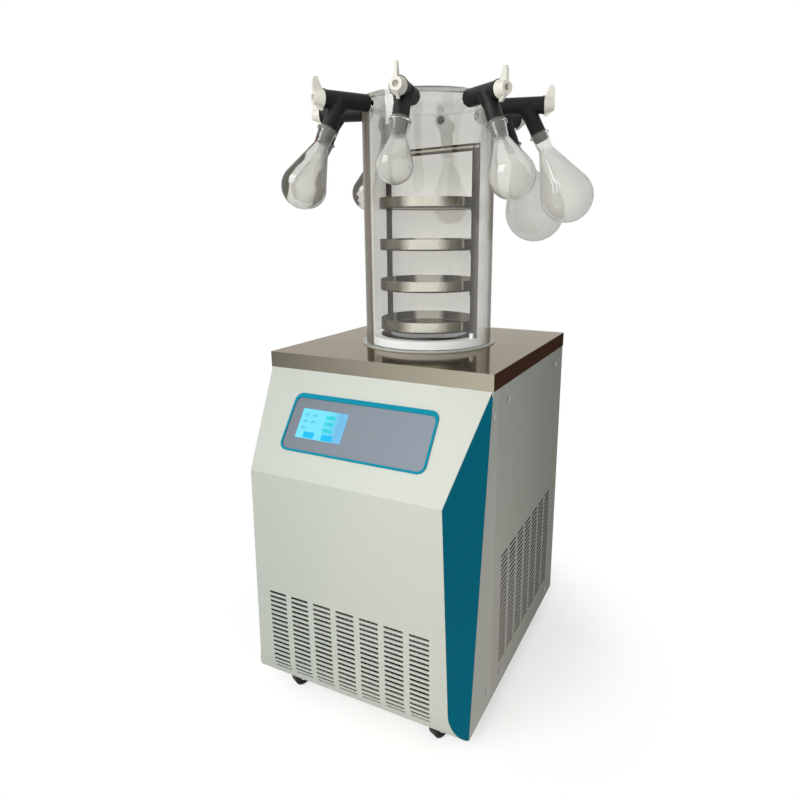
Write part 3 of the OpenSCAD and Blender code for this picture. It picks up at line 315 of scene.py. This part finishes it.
front_low, front_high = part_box("front_panel")
side_low, side_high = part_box("side_panel_right")
# Painted shade and light: the front paint darkens to the left, the side and strip paints darken to the rear
# and turn paler and warmer below, and the rear paint pales a little towards the right side panel.
front_paint = powder_coat("front_paint", (0.645, 0.675, 0.602), (0.630, 0.660, 0.588),
                          (0.640, 0.650, 0.580), (0.530, 0.570, 0.510),
                          X, front_high.x - 0.05, front_low.x)
side_paint = powder_coat("side_paint", (0.420, 0.465, 0.397), (0.400, 0.440, 0.375),
                         (0.560, 0.505, 0.450), (0.140, 0.140, 0.098),
                         Y, side_low.y - 0.12, side_high.y)
strip_paint = powder_coat("strip_paint", (0.440, 0.480, 0.420), (0.420, 0.460, 0.400),
                          (0.580, 0.540, 0.485), (0.400, 0.420, 0.370),
                          Y, side_low.y, side_high.y)
rear_paint = powder_coat("rear_paint", (0.375, 0.385, 0.345), (0.355, 0.360, 0.320),
                         (0.360, 0.365, 0.325), (0.400, 0.420, 0.370),
                         X, side_low.x, side_high.x + 0.5)
wear(["front_panel", "base_pan"], front_paint)
wear(["side_panel_left", "side_panel_right"], side_paint)
wear(["rear_panel"], rear_paint)
wear(["corner_strips"], strip_paint)


# ---- Coloured cheeks ----
# Two teal mouldings close the corners between the narrow front panel and the sides.
# They are satin plastic, coloured right through.
teal, shader = finish("teal_plastic", specular_ior_level=0.03)
vary(shader, base_color=blend(grain(shader, 5.0), (0.0005, 0.170, 0.265), (0.0010, 0.188, 0.290)),
     roughness=0.42 + 0.10 * grain(shader, 60.0),
     normal=relief(grain(shader, 600.0), 0.00003, 0.3))
wear(["front_cheeks"], teal)


# ---- Worktop ----
# One folded and brushed stainless sheet, 30 mm deep at its rim, with a round hole
# over the cold trap. It is polished enough to mirror the chamber, and its rims carry painted reflections of
# the room.
def facing(wire, x, y, z):
    """How squarely the surface faces a direction of the object, from -1 to 1."""
    return wire.node("VectorMath", {"operation": "DOT_PRODUCT"},
                     {0: wire.node("TexCoord", out=1), 1: (x, y, z)}, out=1)


def brushed_steel(name, colour, shade, along, roughness):
    """Stainless steel with brushing lines along one direction of the object."""
    material, shader = finish(name, metallic=1.0)
    lines = grain(shader, 1.0, 3.0, stretched(shader, *along))
    cloud = grain(shader, 6.0)
    vary(shader, base_color=blend(smooth(cloud, 0.3, 0.7), colour, shade),
         roughness=roughness + 0.08 * lines,
         normal=relief(lines, 0.00002, 0.3))
    return material, shader


worktop_steel, shader = finish("worktop_steel", specular_ior_level=0.0,
                               specular_tint=(0.60, 0.57, 0.52))
lines = grain(shader, 1.0, 3.0, stretched(shader, 14, 1500, 1500))
top_face = blend(smooth(grain(shader, 4.0), 0.3, 0.7), (0.430, 0.395, 0.330), (0.400, 0.365, 0.305))
# Painted reflections: the front rim brightens to the right, and the side rims are dark brown and not
# metallic.
rightward = (separate(place_in(shader), X) - top_low.x) / (top_high.x - top_low.x)
front_rim_painted_reflection = blend(rightward + 0.1 * lines, (0.140, 0.127, 0.100), (0.450, 0.412, 0.325))
side_rim_painted_reflection = blend(grain(shader, 8.0), (0.068, 0.034, 0.021), (0.092, 0.047, 0.031))
at_side = smooth(abs(facing(shader, 1, 0, 0)), 0.5, 0.9)
rims_painted_reflection = blend(at_side, front_rim_painted_reflection, side_rim_painted_reflection)
vary(shader, base_color=blend(smooth(facing(shader, 0, 0, 1), 0.4, 0.9), rims_painted_reflection, top_face),
     metallic=1 - at_side,
     roughness=0.07 + 0.07 * lines,
     normal=relief(lines, 0.000012, 0.25))
wear(["worktop"], worktop_steel)


# ---- Screws and plated parts ----
# Cross-head screws hold the side panels, the strips and the rear panel. They are zinc
# plated, as are the casters' plates and forks, the condenser and the control box.
zinc, shader = finish("zinc_plate", metallic=1.0)
vary(shader, base_color=blend(grain(shader, 60.0), (0.58, 0.59, 0.58), (0.48, 0.49, 0.50)),
     roughness=0.28 + 0.15 * grain(shader, 300.0))
wear(["panel_screws", "caster_plates", "condenser", "control_box"], zinc)
wear([f"caster_fork_{i}" for i in range(1, 5)], zinc)


# ---- Controls ----
# A turquoise moulded bezel on the sloping sheet frames a grey overlay film. The lit touch
# screen shows through the film's window, and its marks are thin bars raised on the glass.
turquoise, shader = finish("bezel_plastic", roughness=0.32, specular_ior_level=0.02)
vary(shader, base_color=blend(grain(shader, 8.0), (0.001, 0.270, 0.395), (0.002, 0.288, 0.415)))
wear(["control_bezel"], turquoise)

film, shader = finish("overlay_film", specular_ior_level=0.15)
film_low, film_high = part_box("control_overlay")
across = (separate(place_in(shader), X) - film_low.x) / (film_high.x - film_low.x)
# Painted shade and light: the film darkens to the left and pales to the right.
vary(shader, base_color=blend(across + 0.3 * grain(shader, 7.0) - 0.15,
                              (0.150, 0.180, 0.216), (0.228, 0.272, 0.320)),
     roughness=0.30 + 0.08 * grain(shader, 90.0),
     normal=relief(grain(shader, 2500.0), 0.00002, 0.2))
wear(["control_overlay"], film)


def outer_face(node, sideways):
    """A corner of a node's widest flat face to the front, its two sides and its normal."""
    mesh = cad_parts[node].data
    front = [face for face in mesh.polygons if face.normal.y < 0]
    normal = max(front, key=lambda face: face.area).normal.copy()
    down = sideways.cross(normal)
    spots = [mesh.vertices[i].co for face in mesh.polygons if face.normal.dot(normal) > 0.99
             for i in face.vertices]
    u, v = ([spot.dot(way) for spot in spots] for way in (sideways, down))
    height = max(spot.dot(normal) for spot in spots)
    corner = sideways * min(u) + down * min(v) + normal * height
    return corner, sideways * (max(u) - min(u)), down * (max(v) - min(v)), normal


def printed(name, bars, lift, colour, shade):
    """Lit marks on the screen: thin bars, each given by its corners in shares of the screen."""
    corner, right, down, normal = outer_face("touch_screen", Vector((1, 0, 0)))
    verts = []
    faces = []
    for u0, v0, u1, v1 in bars:
        first = len(verts)
        for level in (0.00002, lift):
            verts += [corner + right * u + down * v + normal * level
                      for u, v in ((u0, v0), (u0, v1), (u1, v1), (u1, v0))]
        faces += [tuple(first + i for i in ring) for ring in (
            (3, 2, 1, 0), (4, 5, 6, 7), (0, 1, 5, 4), (1, 2, 6, 5), (2, 3, 7, 6), (3, 0, 4, 7))]
    mesh = bpy.data.meshes.new(name)
    mesh.from_pydata(verts, [], faces)
    material, shader = finish(name, roughness=0.3, base_color=(0.004, 0.008, 0.010),
                              specular_ior_level=0.04, emission_strength=0.95)
    vary(shader, emission_color=blend(grain(shader, 60.0), colour, shade))
    mesh.materials.append(material)
    made = bpy.data.objects.new(name, mesh)
    bpy.context.collection.objects.link(made)
    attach(made, "root")


SEGMENTS = {         # the bars of a seven-bar figure: left, top, right and bottom
    "a": (0, 0, 1, 0.15), "b": (0.78, 0, 1, 0.5), "c": (0.78, 0.5, 1, 1), "d": (0, 0.85, 1, 1),
    "e": (0, 0.5, 0.22, 1), "f": (0, 0, 0.22, 0.5), "g": (0, 0.43, 1, 0.57),
}
LIT = {"0": "abcdef", "1": "bc", "2": "abged", "4": "fgbc", "5": "afgcd", "6": "afgecd",
       "8": "abcdefg", "-": "g"}


def figures(text, left, top, width, height, pitch):
    """The bars of a number."""
    return [
        (left + i * pitch + x0 * width, top + y0 * height, left + i * pitch + x1 * width, top + y1 * height)
        for i, letter in enumerate(text) for x0, y0, x1, y1 in (SEGMENTS[bar] for bar in LIT[letter])
    ]


screen, shader = finish("screen_glass", roughness=0.10, base_color=(0.004, 0.008, 0.010),
                        specular_ior_level=0.15, emission_strength=0.95)
screen_low, screen_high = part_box("touch_screen")
across = (separate(place_in(shader), X) - screen_low.x) / (screen_high.x - screen_low.x)
vary(shader, emission_color=blend(smooth(across, 0.55, 0.90), (0.100, 0.720, 0.960),
                                  (0.090, 0.460, 0.780)))
wear(["touch_screen"], screen)

ROWS = (0.13, 0.35, 0.57)
printed("screen_fields", [(0.545, v, 0.765, v + 0.165) for v in ROWS], 0.00006,
        (0.060, 0.800, 0.880), (0.055, 0.740, 0.840))
printed("screen_numbers", [
    bar for text, v in zip(("-52", "148", "260"), ROWS)
    for bar in figures(text, 0.575, v + 0.035, 0.040, 0.095, 0.060)
], 0.00012, (0.020, 0.480, 0.680), (0.018, 0.440, 0.640))
printed("screen_labels", [
    (u + 0.024 * i, v + 0.045, u + 0.024 * i + 0.017, v + 0.105)
    for v, starts in zip(ROWS, ((0.070, 0.250), (0.070, 0.250), (0.070,)))
    for u in starts for i in range(4)
] + [(0.84, v + 0.03, 0.93, v + 0.045) for v in ROWS] + [(0.84, v + 0.09, 0.90, v + 0.105) for v in ROWS],
        0.00006, (0.075, 0.480, 0.720), (0.070, 0.450, 0.690))
printed("screen_keys", [(0.165, 0.775, 0.405, 0.975), (0.570, 0.785, 0.810, 0.985)], 0.00006,
        (0.001, 0.560, 0.980), (0.001, 0.530, 0.960))


# ---- Cold trap and refrigeration ----
# A spun stainless well in poured foam with a copper evaporator round it. The compressor,
# in black enamel, and the moulded fan stand in the base, joined to it by copper pipe.
dull_steel, shader = brushed_steel("trap_steel", (0.46, 0.45, 0.43), (0.42, 0.41, 0.39),
                                   (600, 600, 14), 0.25)
wear(["cold_trap", "vacuum_port"], dull_steel)

copper, shader = finish("copper_tube", metallic=1.0)
vary(shader, base_color=blend(grain(shader, 30.0), (0.62, 0.26, 0.13), (0.42, 0.16, 0.08)),
     roughness=0.25 + 0.2 * grain(shader, 80.0))
wear(["evaporator_coil", "refrigerant_lines"], copper)

foam, shader = finish("poured_foam", roughness=0.85)
vary(shader, base_color=blend(grain(shader, 25.0), (0.68, 0.58, 0.34), (0.60, 0.49, 0.26)),
     normal=relief(grain(shader, 260.0), 0.0006, 0.5))
wear(["trap_insulation"], foam)

enamel, shader = finish("black_enamel", roughness=0.22)
vary(shader, base_color=blend(grain(shader, 12.0), (0.012, 0.012, 0.013), (0.020, 0.020, 0.021)),
     normal=relief(grain(shader, 500.0), 0.00005, 0.3))
wear(["compressor"], enamel)

fan_plastic, shader = finish("fan_plastic", roughness=0.45)
vary(shader, base_color=blend(grain(shader, 20.0), (0.26, 0.28, 0.29), (0.22, 0.24, 0.25)))
wear(["fan_rotor"], fan_plastic)


# ---- Rubber and black plastic ----
# The valve bodies and the compressor's mounts are black moulded rubber, the cones that
# carry the flasks are softer grey rubber, and the casters have solid dark tyres. The fan's
# shroud, the power inlet and the switch are black plastic.
def rubber(name, colour, shade, roughness):
    """A moulded rubber or plastic with a dull and slightly uneven skin."""
    material, shader = finish(name, specular_ior_level=0.18)
    vary(shader, base_color=blend(grain(shader, 35.0), colour, shade),
         roughness=roughness + 0.12 * grain(shader, 120.0),
         normal=relief(grain(shader, 800.0), 0.00005, 0.3))
    return material


black_rubber = rubber("black_rubber", (0.010, 0.011, 0.010), (0.016, 0.017, 0.015), 0.42)
black_plastic = rubber("black_plastic", (0.012, 0.012, 0.013), (0.018, 0.018, 0.018), 0.35)
grey_rubber = rubber("grey_rubber", (0.060, 0.056, 0.054), (0.080, 0.075, 0.070), 0.5)
tyre_rubber = rubber("tyre_rubber", (0.030, 0.030, 0.031), (0.045, 0.044, 0.044), 0.55)
wear(["compressor_mounts", "valve_bodies"], black_rubber)
wear(["fan_shroud", "power_inlet", "power_switch"], black_plastic)
wear(["flask_adapters"], grey_rubber)
wear([f"caster_wheel_{i}" for i in range(1, 5)], tyre_rubber)


# ---- Services on the rear ----
# The drain valve is turned from brass and has a lever with a red plastic coat. The
# rocker of the mains switch is the same red plastic.
brass, shader = finish("brass", metallic=1.0)
vary(shader, base_color=blend(grain(shader, 40.0), (0.60, 0.43, 0.17), (0.50, 0.34, 0.13)),
     roughness=0.22 + 0.15 * grain(shader, 150.0))
wear(["drain_valve"], brass)

red, shader = finish("red_plastic", roughness=0.35)
vary(shader, base_color=blend(grain(shader, 30.0), (0.42, 0.015, 0.012), (0.36, 0.012, 0.010)))
wear(["drain_lever", "power_rocker"], red)


# ---- Seal and collar ----
# A white moulded collar lines the mouth of the trap, and a flat silicone ring seals
# the foot of the chamber against the worktop.
seal, shader = finish("seal_rubber", roughness=0.35, specular_ior_level=0.3)
vary(shader, base_color=blend(grain(shader, 30.0), (0.500, 0.515, 0.470), (0.450, 0.465, 0.420)))
wear(["base_seal"], seal)

# The collar glows faintly: painted light that lifts it where the chamber and trays shade it.
collar, shader = finish("collar_plastic", specular_ior_level=0.3,
                        emission_color=(0.95, 0.97, 1.0), emission_strength=0.16)
vary(shader, base_color=blend(grain(shader, 12.0), (0.92, 0.93, 0.94), (0.88, 0.89, 0.91)),
     roughness=0.35 + 0.1 * grain(shader, 50.0),
     normal=relief(grain(shader, 400.0), 0.00004, 0.3))
wear(["trap_collar"], collar)


# ---- Clear chamber ----
# A turned acrylic tube, 10 mm thick, with a lid let into its rim and a bonded stub
# for each valve. A light haze lies on the wall behind the trays, and its paleness below is painted light.
# Where the thick wall is seen edge-on it carries a painted dark reflection, most on the left.
tube_low, tube_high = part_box("chamber_cylinder")
axis_x = (tube_low.x + tube_high.x) / 2
axis_y = (tube_low.y + tube_high.y) / 2
TUBE_WALL = 0.010
TUBE_MIDDLE = (tube_high.x - tube_low.x) / 2 - TUBE_WALL / 2     # the middle of its wall
FRONT_TURN = math.radians(26)       # the chamber's brightest side, counted from the front
AHEAD = (math.sin(FRONT_TURN), -math.cos(FRONT_TURN), 0)
ASIDE = (math.cos(FRONT_TURN), math.sin(FRONT_TURN), 0)


def from_axis(wire, direction):
    """How far a place lies from the chamber's axis along a level direction, in metres."""
    spot = wire.node("VectorMath", {"operation": "SUBTRACT"},
                     {0: place_in(wire), 1: (axis_x, axis_y, 0)})
    return wire.node("VectorMath", {"operation": "DOT_PRODUCT"}, {0: spot, 1: direction}, out=1)


def clear_wall(name, tint, skin, share, ior, gloss, painted_glow):
    """A clear wall that lets lamp light through. tint, skin and share are functions of the
    shader tree: the colour of the wall, that of what lies on it, and how much it hides.
    The last argument is the strength of a painted light that what lies on the wall gives off, though it is
    no lamp."""
    material = bpy.data.materials.new(name)
    wire = tree_of(material)
    pane = wire.node("BsdfPrincipled", None, {
        "Base Color": tint(wire), "Roughness": 0.0, "IOR": ior, "Transmission Weight": 1.0,
        "Specular IOR Level": gloss,
    })
    veil = wire.node("BsdfPrincipled", None, {
        "Base Color": skin(wire), "Roughness": 0.25, "Specular IOR Level": 0.02,
        "Emission Color": skin(wire), "Emission Strength": painted_glow,
    })
    wall = wire.node("MixShader", None, {0: share(wire), 1: pane, 2: veil})
    through = wire.node("BsdfTransparent", None, {"Color": (1.0, 1.0, 1.0)})
    passing = either(path(wire, "shadow"), path(wire, "diffuse"))
    show(wire, "Material", wire.node("MixShader", None, {0: passing, 1: wall, 2: through}))
    return material


def slant(wire):
    """0 where the surface is seen squarely, 1 where it is seen edge-on."""
    return wire.node("LayerWeight", None, {"Blend": 0.5}, out=1)


def streaks(wire, pitch, first, second):
    """Faint upright streaks between two colours."""
    return blend(smooth(grain(wire, 1.0, 2.0, stretched(wire, pitch, pitch, 1.5)), 0.35, 0.65),
                 first, second)


def tube_edge_painted_reflection(wire):
    """The edge-on walls: a painted dark reflection, a broad band on the left and a narrow paler one on the
    right.
    """
    left = smooth(from_axis(wire, ASIDE), 0.05, -0.05)
    outside = (from_axis(wire, ASIDE) ** 2 + from_axis(wire, AHEAD) ** 2) ** 0.5 > TUBE_MIDDLE
    return either(smooth(slant(wire), 0.48, 0.58) * left,
                  smooth(slant(wire), 0.22, 0.82) * (1 - left) * 0.97) * outside


def tube_skin(wire):
    """Grey haze that is paler below, that paleness being painted light, and the dark olive streaks of a
    painted reflection in the edges.
    """
    below = (tube_high.z - separate(place_in(wire), Z)) / (tube_high.z - tube_low.z)
    haze = blend(smooth(below, 0.06, 0.55), (0.46, 0.455, 0.42), (0.91, 0.90, 0.84))
    return blend(tube_edge_painted_reflection(wire), haze,
                 streaks(wire, 90, (0.125, 0.110, 0.080), (0.17, 0.150, 0.125)))


def tube_share(wire):
    """The haze hides half of what is behind the chamber, and the painted dark reflection in the edges
    nearly all.
    """
    upright = smooth(abs(facing(wire, 0, 0, 1)), 0.6, 0.3)
    behind = smooth(from_axis(wire, AHEAD), 0.04, -0.04)
    return either(tube_edge_painted_reflection(wire) * 0.97, 0.47 * behind) * upright


# The tube's haze gives off a faint painted light, and it is paler below as painted light where the trays
# shade it.
acrylic = clear_wall("clear_acrylic",
                     lambda wire: streaks(wire, 50, (0.95, 0.95, 0.93), (0.92, 0.92, 0.90)),
                     tube_skin, tube_share, 1.49, 0.06, 0.20)
wear(["chamber_cylinder"], acrylic)

# The lid's haze gives off a little painted light too.
lid_acrylic = clear_wall(
    "lid_acrylic",
    lambda wire: blend(grain(wire, 9.0), (0.92, 0.92, 0.90), (0.88, 0.88, 0.85)),
    lambda wire: blend(grain(wire, 20.0), (0.50, 0.50, 0.46), (0.44, 0.44, 0.40)),
    lambda wire: 0.05 + 0.15 * smooth(grain(wire, 6.0), 0.3, 0.7), 1.49, 0.3, 0.1)
wear(["chamber_lid", "port_stubs"], lid_acrylic)


# ---- Rack and trays ----
# A bent stainless channel carries four shelf rings, and each holds a pressed tray.
# The polished round walls of the trays carry a painted reflection of the room in upright bands.
WHITISH = (0.97, 0.95, 0.84)
CREAM = (0.75, 0.74, 0.65)
PALE = (0.42, 0.40, 0.33)
OLIVE = (0.145, 0.128, 0.086)
DARK = (0.035, 0.030, 0.014)
BROWN = (0.032, 0.013, 0.006)
PAINTED_REFLECTION_BANDS = (            # degrees round the chamber from its brightest side, and the colour of the painted reflection there
    (-180, WHITISH), (-166, WHITISH), (-160, OLIVE), (-142, DARK), (-134, DARK), (-132, PALE),
    (-129, PALE), (-127, OLIVE), (-105, OLIVE), (-88, BROWN), (-62, DARK), (-48, OLIVE),
    (-34, OLIVE), (-19, CREAM), (8, CREAM), (23, OLIVE), (38, DARK), (41, PALE), (43, PALE),
    (45, BROWN), (70, BROWN), (100, OLIVE), (128, PALE), (138, OLIVE), (158, DARK), (166, WHITISH),
    (180, WHITISH),
)
tray_steel, shader = finish("tray_steel", specular_ior_level=0.1, specular_tint=(0.50, 0.45, 0.38))
turn = shader.maths("ARCTAN2", from_axis(shader, ASIDE), from_axis(shader, AHEAD))
fine = grain(shader, 1.0, 3.0, stretched(shader, 30, 30, 900))
painted_reflection = shader.node("ValToRGB", {"stops": [(angle / 360 + 0.5, shade) for angle, shade in PAINTED_REFLECTION_BANDS]}, {
    0: turn / (2 * math.pi) + 0.5 + 0.004 * (grain(shader, 12.0) - 0.5)})
level = smooth(abs(facing(shader, 0, 0, 1)), 0.4, 0.8)
outward = (from_axis(shader, ASIDE) * facing(shader, *ASIDE)
           + from_axis(shader, AHEAD) * facing(shader, *AHEAD))
vary(shader, base_color=blend(level, painted_reflection, blend(fine, (0.42, 0.39, 0.31), (0.34, 0.31, 0.25))),
     metallic=1 - 0.85 * (outward < -0.02),
     roughness=0.16 + 0.10 * fine, normal=relief(fine, 0.00002, 0.3))
wear([f"tray_{i}" for i in range(1, 5)], tray_steel)

rack_steel, shader = finish("rack_steel", metallic=1.0, specular_tint=(0.45, 0.42, 0.35))
rolled = grain(shader, 1.0, 3.0, stretched(shader, 160, 160, 9))
CROSSBAR_DROP = 0.0056      # the middle of the crossbar's web lies this far below the rack's top
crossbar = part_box("sample_rack")[1].z - CROSSBAR_DROP
crossbar_painted_highlight = smooth(abs(separate(place_in(shader), Z) - crossbar), 0.0027, 0.0015)
# The rack's steel carries a painted dark reflection of the room, with a painted highlight along the middle
# of the crossbar.
painted_dark_reflection = blend(smooth(rolled, 0.45, 0.70), (0.034, 0.022, 0.012), (0.075, 0.058, 0.038))
vary(shader, base_color=blend(crossbar_painted_highlight, painted_dark_reflection, (0.42, 0.40, 0.33)),
     roughness=0.20 + 0.10 * rolled)
wear(["sample_rack", "rack_shelves", "rack_foot"], rack_steel)


# ---- Valve knobs ----
# Ivory nylon knobs turn the valves. Each is one moulding with a tall wing, and its stem
# turns inside the outer end of the valve's barrel.
ivory, shader = finish("ivory_plastic", specular_ior_level=0.3)
vary(shader, base_color=blend(grain(shader, 25.0), (0.86, 0.85, 0.76), (0.80, 0.78, 0.69)),
     roughness=0.36 + 0.08 * grain(shader, 90.0),
     normal=relief(grain(shader, 500.0), 0.00003, 0.3))
wear([f"valve_knob_{i}" for i in range(1, 9)], ivory)


# ---- Flasks ----
# Blown pear-shaped flasks with a beaded mouth, pushed on the rubber cones. The glass
# is thin and faintly grey, and the flasks on the left carry painted smoky reflections. Where the glass is
# seen edge-on it carries a painted dark edge.
flasks_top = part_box("flasks")[1].z
NECK_FROM = flasks_top - 0.040      # the glass turns clear between these two heights
NECK_CLEAR = flasks_top - 0.028


def painted_smoky_reflection(wire):
    """Painted dark reflections in patches on the left of the flasks that hang on the left."""
    leftward = facing(wire, -0.88, -0.35, 0.30) + 0.9 * grain(wire, 33.0, 2.5)
    hanging = smooth(axis_x - separate(place_in(wire), X), 0.07, 0.12)
    return smooth(leftward, 0.78, 0.90) * hanging


def painted_dark_outline(wire):
    """The glass seen edge-on, where it carries a painted dark edge."""
    return smooth(slant(wire), 0.66, 0.90)


def flask_skin(wire):
    """A pale haze, with the olive and dark red of painted reflections in the patches and along the edge-on
    glass.
    """
    haze = blend(grain(wire, 14.0), (0.67, 0.665, 0.615), (0.71, 0.705, 0.655))
    painted_patch = blend(smooth(grain(wire, 17.0), 0.50, 0.62), (0.060, 0.060, 0.040), (0.090, 0.020, 0.018))
    return blend(either(painted_smoky_reflection(wire), painted_dark_outline(wire)), haze, painted_patch)


def flask_share(wire):
    """A thin haze that leaves the necks clear, and the painted reflections in the patches and along the
    edge-on glass.
    """
    haze = 0.26 - 0.20 * smooth(separate(place_in(wire), Z), NECK_FROM, NECK_CLEAR)
    return either(haze, either(0.70 * painted_smoky_reflection(wire), 0.75 * painted_dark_outline(wire)))


flask_glass = clear_wall(
    "flask_glass",
    lambda wire: blend(grain(wire, 14.0), (0.96, 0.96, 0.94), (0.93, 0.93, 0.91)),
    flask_skin, flask_share, 1.47, 0.5, 0.0)
wear(["flasks"], flask_glass)
